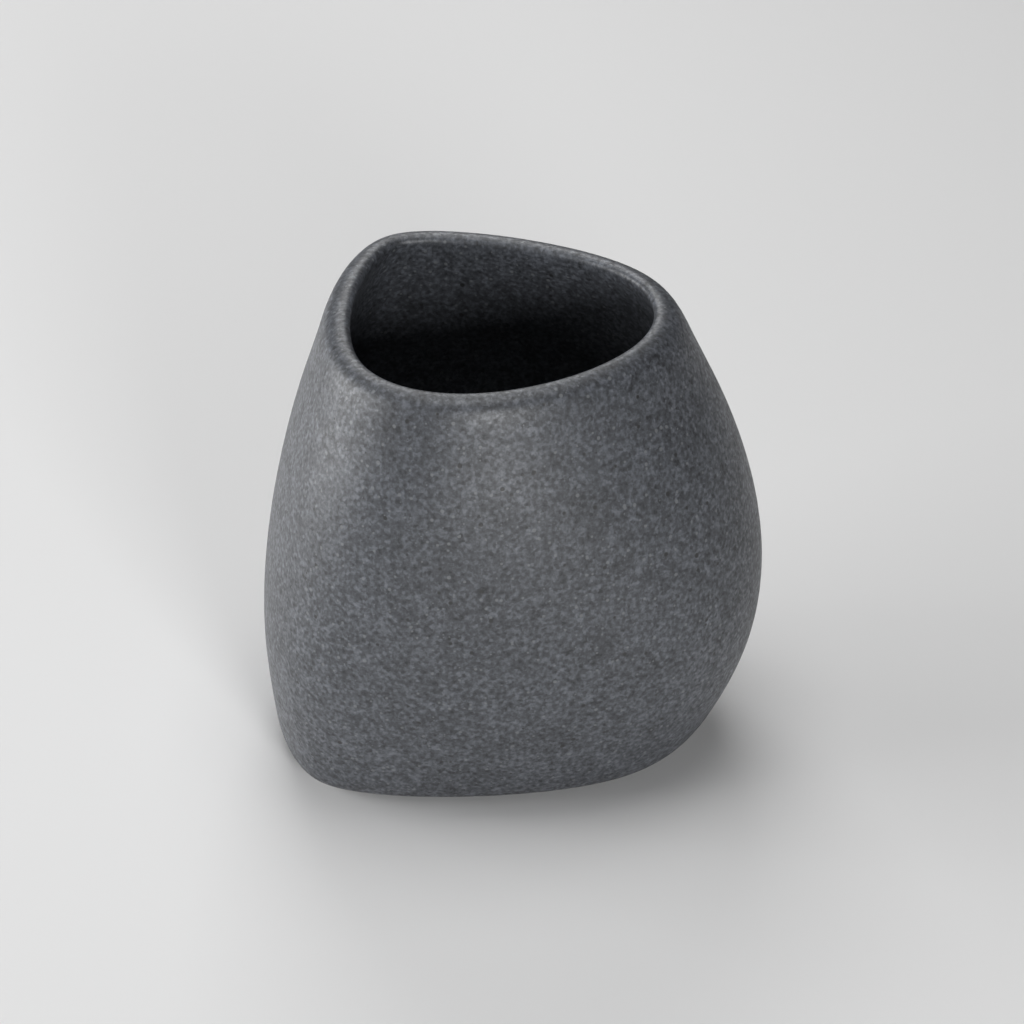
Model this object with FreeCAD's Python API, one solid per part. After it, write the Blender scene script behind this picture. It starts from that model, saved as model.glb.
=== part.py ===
import FreeCAD
import Part
import math
import os

# A bathroom tumbler: one thick cast cup, shaped like a pebble with three rounded corners,
# standing on three soft pads let into its underside. Sizes are millimetres and +Z is up.
# One corner, the tip, points along +X, and the two heel corners lie on either side of -X.
# The front heel, towards -Y, softens on its way up, and the back heel stays as tight.
# The origin is on the table, under the middle of the body's outline in plan.

# Body: heights of its measured sections, each above the one below it
foot_to_belly = 43.0
belly_to_shoulder = 32.5
shoulder_to_rim = 28.5

# Body: reach of the tip corner from the axis of the mouth, section by section
foot_tip_reach = 43.5
belly_tip_reach = 58.0
shoulder_tip_reach = 51.0
rim_tip_reach = 38.0

# Body: reach of the heel corners from the same axis
foot_heel_reach = 48.5
belly_heel_reach = 54.5
shoulder_heel_reach = 50.0
rim_heel_reach = 41.0

# Body: where the heel corners stand, in degrees either side of the tip
foot_heel_angle = 147.0
rim_heel_angle = 126.0

# Body: each corner's radius as a share of its reach, and how full the sides between are
tip_round_share = 0.7
heel_round_share = 0.2
front_rim_round_share = 0.6
side_fullness = 6

# Body: casting thickness and edge rounds, the lip's as shares of the wall that it tops
wall = 5.5
floor_thickness = 7.0
foot_round = 4.0
floor_round = 6.0
lip_outer_share = 0.55
lip_inner_share = 0.42

# Pads: soft discs stuck in round pockets, one under each corner
pad_diameter = 10.0
pad_stand = 1.0
pad_edge_round = 0.5
pad_margin = 2.0
pocket_depth = 1.2
pocket_clearance = 0.2

# Construction: points on each ring, rings round each edge, and rings up each wall
ring_points = 48
quarter_steps = 3
wall_ring_shares = [0.06, 0.2, 0.4, 0.6, 0.8, 0.94]
cut_overrun = 1.0

pad_radius = pad_diameter / 2
pocket_radius = pad_radius + pocket_clearance
belly_height = foot_to_belly
shoulder_height = belly_height + belly_to_shoulder
body_height = shoulder_height + shoulder_to_rim
station_heights = [0, belly_height, shoulder_height, body_height]
tip_reaches = [foot_tip_reach, belly_tip_reach, shoulder_tip_reach, rim_tip_reach]
heel_reaches = [foot_heel_reach, belly_heel_reach, shoulder_heel_reach, rim_heel_reach]
ring_turns = [step / ring_points for step in range(ring_points + 1)]


def reach_at(height, reaches):
    # The smooth curve through the measured reaches, at any height
    total = 0
    for station, reach in zip(station_heights, reaches):
        weight = 1
        for other in station_heights:
            if other != station:
                weight *= (height - other) / (station - other)
        total += weight * reach
    return total


def corners_at(height):
    # Angle, reach and radius of the body's tip, back heel and front heel at a height
    rise = height / body_height
    heel_angle = math.radians(foot_heel_angle + (rim_heel_angle - foot_heel_angle) * rise)
    front_share = heel_round_share + (front_rim_round_share - heel_round_share) * rise
    tip_reach = reach_at(height, tip_reaches)
    heel_reach = reach_at(height, heel_reaches)
    return [
        (0, tip_reach, tip_reach * tip_round_share),
        (heel_angle, heel_reach, heel_reach * heel_round_share),
        (-heel_angle, heel_reach, heel_reach * front_share),
    ]


def outline_at(corners, facing):
    # How far out the smooth outline wrapped round the corners lies where it faces a direction,
    # and how far along it touches
    total = 0
    slope = 0
    for angle, reach, radius in corners:
        arm = reach - radius
        push = max(radius + arm * math.cos(facing - angle), 0)
        total += push ** side_fullness
        slope -= push ** (side_fullness - 1) * arm * math.sin(facing - angle)
    out = total ** (1 / side_fullness)
    return out, slope * out / total


def ring_wire(height, inset):
    # The body's outline at a height, drawn in evenly by the inset
    corners = corners_at(height)
    points = []
    for turn in ring_turns[:-1]:
        facing = 2 * math.pi * turn
        out, along = outline_at(corners, facing)
        out -= inset
        x = out * math.cos(facing) - along * math.sin(facing)
        y = out * math.sin(facing) + along * math.cos(facing)
        points.append(FreeCAD.Vector(x, y, height))
    curve = Part.BSplineCurve()
    curve.interpolate(Points=points, Parameters=ring_turns, PeriodicFlag=True)
    return Part.Wire([curve.toShape()])


def skin_rings():
    # Height and inset of every ring of the skin, which runs from the underside up the
    # outside, over the lip and down the inside to the floor
    lip_outer_round = wall * lip_outer_share
    lip_inner_round = wall * lip_inner_share
    outer_top = body_height - lip_outer_round
    inner_top = body_height - lip_inner_round
    inner_bottom = floor_thickness + floor_round
    quarter = [math.pi / 2 * step / quarter_steps for step in range(quarter_steps + 1)]
    rings = []
    for turn in quarter:
        rings.append((foot_round * (1 - math.cos(turn)), foot_round * (1 - math.sin(turn))))
    for share in wall_ring_shares:
        rings.append((foot_round + (outer_top - foot_round) * share, 0))
    for turn in quarter:
        inset = lip_outer_round * (1 - math.cos(turn))
        rings.append((outer_top + lip_outer_round * math.sin(turn), inset))
    for turn in quarter:
        inset = wall - lip_inner_round * (1 - math.sin(turn))
        rings.append((inner_top + lip_inner_round * math.cos(turn), inset))
    for share in reversed(wall_ring_shares):
        rings.append((inner_bottom + (inner_top - inner_bottom) * share, wall))
    for turn in quarter:
        inset = wall + floor_round * (1 - math.cos(turn))
        rings.append((inner_bottom - floor_round * math.sin(turn), inset))
    return rings


def pad_places():
    # Middle of each pad on the underside, as far out as the rounded foot leaves room for
    corners = corners_at(0)
    inset = foot_round + pad_margin + pocket_radius
    places = []
    for angle, reach, radius in corners:
        room = []
        for turn in ring_turns[:-1]:
            facing = 2 * math.pi * turn
            lean = math.cos(facing - angle)
            if lean > 0:
                out, along = outline_at(corners, facing)
                room.append((out - inset) / lean)
        places.append(FreeCAD.Vector(min(room) * math.cos(angle), min(room) * math.sin(angle), 0))
    return places


def tumbler_body():
    # One loft through the whole skin, closed by the flat underside and the flat floor
    body = Part.makeLoft([ring_wire(height, inset) for height, inset in skin_rings()], True)
    for place in pad_places():
        start = place - FreeCAD.Vector(0, 0, cut_overrun)
        body = body.cut(Part.makeCylinder(pocket_radius, cut_overrun + pocket_depth, start))
    return body


def foot_pad(place):
    # A disc with a rounded lower edge, seated on the ceiling of its pocket
    bottom = place - FreeCAD.Vector(0, 0, pad_stand)
    pad = Part.makeCylinder(pad_radius, pad_stand + pocket_depth, bottom)
    lower_edge = min(pad.Edges, key=lambda edge: edge.CenterOfMass.z)
    return pad.makeFillet(pad_edge_round, [lower_edge])


def main():
    os.makedirs("parts", exist_ok=True)
    pad_names = ["foot_pad_tip", "foot_pad_back", "foot_pad_front"]
    nodes = {"tumbler_body": tumbler_body()}
    for name, place in zip(pad_names, pad_places()):
        nodes[name] = foot_pad(place)
    middle = nodes["tumbler_body"].optimalBoundingBox(True, False).Center
    to_origin = FreeCAD.Vector(-middle.x, -middle.y, pad_stand)
    for name, shape in nodes.items():
        shape.translate(to_origin)
        shape.exportStep("parts/" + name + ".step")
        print(name, "valid" if shape.isValid() else "not valid", len(shape.Solids), "solid")


main()
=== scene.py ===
import bpy
import bmesh
import math
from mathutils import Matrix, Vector


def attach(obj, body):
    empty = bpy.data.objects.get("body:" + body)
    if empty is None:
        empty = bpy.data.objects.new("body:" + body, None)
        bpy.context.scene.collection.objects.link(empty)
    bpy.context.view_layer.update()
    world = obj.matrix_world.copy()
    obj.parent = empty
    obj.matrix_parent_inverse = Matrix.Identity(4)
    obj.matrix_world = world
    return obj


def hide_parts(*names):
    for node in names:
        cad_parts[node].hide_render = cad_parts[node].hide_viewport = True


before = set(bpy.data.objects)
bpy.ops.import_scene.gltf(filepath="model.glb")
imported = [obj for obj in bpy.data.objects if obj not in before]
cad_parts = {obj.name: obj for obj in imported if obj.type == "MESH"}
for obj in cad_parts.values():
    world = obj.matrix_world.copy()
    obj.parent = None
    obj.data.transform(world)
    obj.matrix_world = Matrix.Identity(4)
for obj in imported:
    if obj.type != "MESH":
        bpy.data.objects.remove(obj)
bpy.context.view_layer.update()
print("frame loaded:", sorted(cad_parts))

scene = bpy.context.scene
scene.view_settings.view_transform = "Standard"


def addNode(tree, kind, **values):
    node = tree.nodes.new(kind)
    for name, value in values.items():
        if hasattr(node, name):
            setattr(node, name, value)
        else:
            node.inputs[name].default_value = value
    return node


def newMaterial(name):
    material = bpy.data.materials.new(name)
    material.use_nodes = True
    tree = material.node_tree
    return material, tree, tree.nodes["Principled BSDF"]


def setRamp(node, stops):
    ramp = node.color_ramp
    for element, (position, colour) in zip(ramp.elements, stops):
        element.position = position
        element.color = colour


def grey(value):
    return (value, value, value, 1)


def math2(tree, operation, first, second):
    # one maths step, each input a socket or a number
    node = addNode(tree, "ShaderNodeMath", operation=operation)
    for socket, value in zip(node.inputs, (first, second)):
        if isinstance(value, (int, float)):
            socket.default_value = value
        else:
            tree.links.new(value, socket)
    return node.outputs["Value"]


def blend(tree, amount, first, second):
    # the first colour, giving way to the second by the amount
    node = addNode(tree, "ShaderNodeMix", data_type="RGBA")
    for index, value in ((0, amount), (6, first), (7, second)):
        if isinstance(value, (int, float, tuple)):
            node.inputs[index].default_value = value
        else:
            tree.links.new(value, node.inputs[index])
    return node.outputs[2]


spotEdge = {"solid": 0.6, "gone": 1.0}  # shares of a spot's radius


def spots(tree, place, scale, kept, radius):
    # round spots at the middles of a few cells, as a mask
    cells = addNode(tree, "ShaderNodeTexVoronoi", Scale=scale, Randomness=1.0)
    tree.links.new(place, cells.inputs["Vector"])
    tone = addNode(tree, "ShaderNodeSeparateColor")
    tree.links.new(cells.outputs["Color"], tone.inputs["Color"])
    chosen = math2(tree, "GREATER_THAN", tone.outputs["Red"], 1 - kept)
    size = math2(tree, "MULTIPLY", tone.outputs["Green"], radius)
    near = addNode(tree, "ShaderNodeMapRange", interpolation_type="SMOOTHSTEP")
    tree.links.new(math2(tree, "DIVIDE", cells.outputs["Distance"], size), near.inputs["Value"])
    near.inputs["From Min"].default_value = spotEdge["solid"]
    near.inputs["From Max"].default_value = spotEdge["gone"]
    near.inputs["To Min"].default_value = 1.0
    near.inputs["To Max"].default_value = 0.0
    return math2(tree, "MULTIPLY", near.outputs["Result"], chosen)


# stone-filled resin: mottled grey grain, dark pits and pale grit under a satin skin
stone = {
    "darkGrain": (0.018, 0.019, 0.022, 1),
    "midGrain": (0.063, 0.068, 0.078, 1),
    "lightGrain": (0.162, 0.174, 0.199, 1),
    "rampStops": (0.25, 0.5, 0.8),
    "grainScale": 1000.0,
    "grainDepth": 0.82,
    "grainDetail": 3.0,
    "grainRoughness": 0.6,
    "fleckScale": 1250.0,
    "fleckDepth": 0.20,
    "mottleScale": 250.0,
    "mottleDepth": 0.26,
    "cloudScale": 45.0,
    "cloudDepth": 0.12,
    "waveDetail": 2.0,
    "waveRoughness": 0.5,
    "gritScale": 900.0,
    "gritKept": 0.22,
    "gritRadius": 0.50,
    "gritColour": (0.20, 0.21, 0.22, 1),
    "gritCover": 0.6,
    "pitScale": 460.0,
    "pitKept": 0.22,
    "pitRadius": 0.32,
    "pitColour": (0.020, 0.020, 0.021, 1),
    "smoothest": 0.42,
    "roughest": 0.56,
    "sheenRange": (0.3, 0.7),
    "specular": 0.75,
    "bumpDepth": 0.00010,
    "bumpStrength": 0.35,
}


def makeStone():
    material, tree, shader = newMaterial("castStone")
    link = tree.links.new
    place = addNode(tree, "ShaderNodeTexCoord").outputs["Object"]
    grain = addNode(tree, "ShaderNodeTexNoise", Scale=stone["grainScale"],
                    Detail=stone["grainDetail"], Roughness=stone["grainRoughness"])
    link(place, grain.inputs["Vector"])
    flecks = addNode(tree, "ShaderNodeTexVoronoi", Scale=stone["fleckScale"], Randomness=1.0)
    link(place, flecks.inputs["Vector"])
    fleck = addNode(tree, "ShaderNodeSeparateColor")
    link(flecks.outputs["Color"], fleck.inputs["Color"])
    layers = {"grain": grain.outputs["Fac"], "fleck": fleck.outputs["Red"]}
    for wave in ("mottle", "cloud"):
        noise = addNode(tree, "ShaderNodeTexNoise", Scale=stone[wave + "Scale"],
                        Detail=stone["waveDetail"], Roughness=stone["waveRoughness"])
        link(place, noise.inputs["Vector"])
        layers[wave] = noise.outputs["Fac"]
    middle = 0.5
    tone = middle
    for layer, value in layers.items():
        swing = math2(tree, "SUBTRACT", value, middle)
        drift = math2(tree, "MULTIPLY", swing, stone[layer + "Depth"])
        tone = math2(tree, "ADD", drift, tone)
    body = addNode(tree, "ShaderNodeValToRGB")
    body.color_ramp.elements.new(middle)
    colours = (stone["darkGrain"], stone["midGrain"], stone["lightGrain"])
    setRamp(body, zip(stone["rampStops"], colours))
    link(tone, body.inputs["Fac"])
    grit = spots(tree, place, stone["gritScale"], stone["gritKept"], stone["gritRadius"])
    pits = spots(tree, place, stone["pitScale"], stone["pitKept"], stone["pitRadius"])
    cover = math2(tree, "MULTIPLY", grit, stone["gritCover"])
    gritty = blend(tree, cover, body.outputs["Color"], stone["gritColour"])
    link(blend(tree, pits, gritty, stone["pitColour"]), shader.inputs["Base Color"])
    sheen = addNode(tree, "ShaderNodeMapRange")
    link(tone, sheen.inputs["Value"])
    sheen.inputs["From Min"].default_value = stone["sheenRange"][0]
    sheen.inputs["From Max"].default_value = stone["sheenRange"][1]
    sheen.inputs["To Min"].default_value = stone["roughest"]
    sheen.inputs["To Max"].default_value = stone["smoothest"]
    link(sheen.outputs["Result"], shader.inputs["Roughness"])
    shader.inputs["Specular IOR Level"].default_value = stone["specular"]
    relief = math2(tree, "SUBTRACT", grain.outputs["Fac"], pits)
    bump = addNode(tree, "ShaderNodeBump", Strength=stone["bumpStrength"],
                   Distance=stone["bumpDepth"])
    link(relief, bump.inputs["Height"])
    link(bump.outputs["Normal"], shader.inputs["Normal"])
    return material


meshing = {"weldDistance": 1e-6, "sharpAngle": math.radians(30)}


def addPiece(name, bm, material, node):
    # a finished mesh, riding on the body in place of its CAD node
    bmesh.ops.recalc_face_normals(bm, faces=bm.faces)
    for face in bm.faces:
        face.smooth = True
    for edge in bm.edges:
        edge.smooth = edge.calc_face_angle(0) < meshing["sharpAngle"]
    mesh = bpy.data.meshes.new(name)
    bm.to_mesh(mesh)
    bm.free()
    mesh.materials.append(material)
    piece = bpy.data.objects.new(name, mesh)
    scene.collection.objects.link(piece)
    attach(piece, "root")
    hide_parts(node)


def makeSkin(material):
    # the cup's own solid, welded into one smooth skin
    bm = bmesh.new()
    bm.from_mesh(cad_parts["tumbler_body"].data)
    bmesh.ops.remove_doubles(bm, verts=bm.verts, dist=meshing["weldDistance"])
    addPiece("bodySkin", bm, material, "tumbler_body")


makeSkin(makeStone())
print("body skinned")

# anti-slip pads: dark rubber discs, moulded with rings on the face that grips
pad = {
    "segments": 64,
    "radius": 0.005,
    "height": 0.0022,
    "edgeRound": 0.0005,
    "edgeSegments": 5,
    # steps inwards from the rim, as width and depth: two grooves with sloped sides
    "ringSteps": (
        (0.0010, 0.0), (0.00012, 0.00025), (0.0005, 0.0), (0.00012, -0.00025),
        (0.0009, 0.0), (0.00012, 0.00025), (0.0005, 0.0), (0.00012, -0.00025),
        (0.0008, 0.0),
    ),
    "darkRubber": (0.014, 0.014, 0.015, 1),
    "paleRubber": (0.028, 0.028, 0.030, 1),
    "rampStops": (0.35, 0.65),
    "roughness": 0.75,
    "grainScale": 2400.0,
    "grainDetail": 2.0,
    "bumpDepth": 0.00003,
    "bumpStrength": 0.5,
}


def makeRubber():
    material, tree, shader = newMaterial("padRubber")
    link = tree.links.new
    place = addNode(tree, "ShaderNodeTexCoord").outputs["Object"]
    grain = addNode(tree, "ShaderNodeTexNoise", Scale=pad["grainScale"],
                    Detail=pad["grainDetail"])
    link(place, grain.inputs["Vector"])
    tone = addNode(tree, "ShaderNodeValToRGB")
    setRamp(tone, zip(pad["rampStops"], (pad["darkRubber"], pad["paleRubber"])))
    link(grain.outputs["Fac"], tone.inputs["Fac"])
    link(tone.outputs["Color"], shader.inputs["Base Color"])
    shader.inputs["Roughness"].default_value = pad["roughness"]
    bump = addNode(tree, "ShaderNodeBump", Strength=pad["bumpStrength"],
                   Distance=pad["bumpDepth"])
    link(grain.outputs["Fac"], bump.inputs["Height"])
    link(bump.outputs["Normal"], shader.inputs["Normal"])
    return material


def makePad(name, node, material):
    # a disc at the CAD pad's place, with its rings let into the face that grips
    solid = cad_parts[node]
    corners = [solid.matrix_world @ Vector(c) for c in solid.bound_box]
    middle = sum(corners, Vector()) / len(corners)
    bm = bmesh.new()
    bmesh.ops.create_circle(bm, cap_ends=True, segments=pad["segments"], radius=pad["radius"])
    bm.normal_update()
    grip = bm.faces[:]
    for thickness, depth in pad["ringSteps"]:
        bmesh.ops.inset_region(bm, faces=grip, thickness=thickness, depth=depth,
                               use_boundary=True)
    rim = [edge for edge in bm.edges if edge.is_boundary]
    side = bmesh.ops.extrude_edge_only(bm, edges=rim)["geom"]
    top = [item for item in side if isinstance(item, bmesh.types.BMVert)]
    bmesh.ops.translate(bm, verts=top, vec=(0, 0, pad["height"]))
    opening = [edge for edge in bm.edges if edge.is_boundary]
    bmesh.ops.holes_fill(bm, edges=opening, sides=0)
    bmesh.ops.bevel(bm, geom=rim, offset=pad["edgeRound"], affect="EDGES",
                    segments=pad["edgeSegments"], profile=0.5, material=-1)
    bmesh.ops.translate(bm, verts=bm.verts, vec=(middle.x, middle.y, 0))
    addPiece(name, bm, material, node)


padRubber = makeRubber()
makePad("tipPad", "foot_pad_tip", padRubber)
makePad("backPad", "foot_pad_back", padRubber)
makePad("frontPad", "foot_pad_front", padRubber)
print("pads moulded")

floor = {"side": 12.0, "colour": grey(0.78), "roughness": 0.9}


def makeFloor():
    mesh = bpy.data.meshes.new("floor")
    bm = bmesh.new()
    bmesh.ops.create_grid(bm, x_segments=1, y_segments=1, size=floor["side"] / 2)
    bm.to_mesh(mesh)
    bm.free()
    material, tree, shader = newMaterial("paleFloor")
    shader.inputs["Base Color"].default_value = floor["colour"]
    shader.inputs["Roughness"].default_value = floor["roughness"]
    mesh.materials.append(material)
    sheet = bpy.data.objects.new("floor", mesh)
    scene.collection.objects.link(sheet)


makeFloor()

# softboxes round the cup: turn from +X and rise in degrees, side in metres
softboxes = {
    "leftBox": {"turn": 165, "rise": 6, "side": 0.5, "watts": 4.2},
    "leftFrontBox": {"turn": 191, "rise": 17, "side": 0.5, "watts": 3.6},
    "frontBox": {"turn": 286, "rise": 17, "side": 0.22, "watts": 4.0},
    "backBox": {"turn": 98, "rise": 40, "side": 0.45, "watts": 2.6},
    "topBox": {"turn": 90, "rise": 88, "side": 0.6, "watts": 3.4},
}
lightRig = {"aim": (0, 0, 0.05), "distance": 0.9, "skyStrength": 0.01}


def makeLights():
    aim = Vector(lightRig["aim"])
    for name, box in softboxes.items():
        data = bpy.data.lights.new(name, "AREA")
        data.shape = "SQUARE"
        data.size = box["side"]
        data.energy = box["watts"]
        turn, rise = math.radians(box["turn"]), math.radians(box["rise"])
        level = math.cos(rise)
        way = Vector((math.cos(turn) * level, math.sin(turn) * level, math.sin(rise)))
        lamp = bpy.data.objects.new(name, data)
        lamp.location = aim + way * lightRig["distance"]
        lamp.rotation_euler = (-way).to_track_quat("-Z", "Y").to_euler()
        scene.collection.objects.link(lamp)
    world = bpy.data.worlds.new("studio")
    world.use_nodes = True
    sky = world.node_tree.nodes["Background"]
    sky.inputs["Color"].default_value = grey(1.0)
    sky.inputs["Strength"].default_value = lightRig["skyStrength"]
    scene.world = world


makeLights()

# the photo's view, down on the cup from straight in front
camera = {
    "elevation": math.radians(32.5),
    "distance": 1.060,
    "lookAt": (-0.0035454, 0.0010295, 0.053),
    "focal": 171.4,
    "sensor": 36.0,
    "shift": (0.01543, 0.00368),
}


def makeCamera():
    data = bpy.data.cameras.new("photoCamera")
    data.sensor_width = camera["sensor"]
    data.lens = camera["focal"]
    data.shift_x, data.shift_y = camera["shift"]
    rise = camera["elevation"]
    back = Vector((0, -math.cos(rise), math.sin(rise)))
    cam = bpy.data.objects.new("photoCamera", data)
    cam.location = Vector(camera["lookAt"]) + back * camera["distance"]
    cam.rotation_euler = (-back).to_track_quat("-Z", "Y").to_euler()
    scene.collection.objects.link(cam)
    scene.camera = cam


makeCamera()
print("stage, lights and camera set")
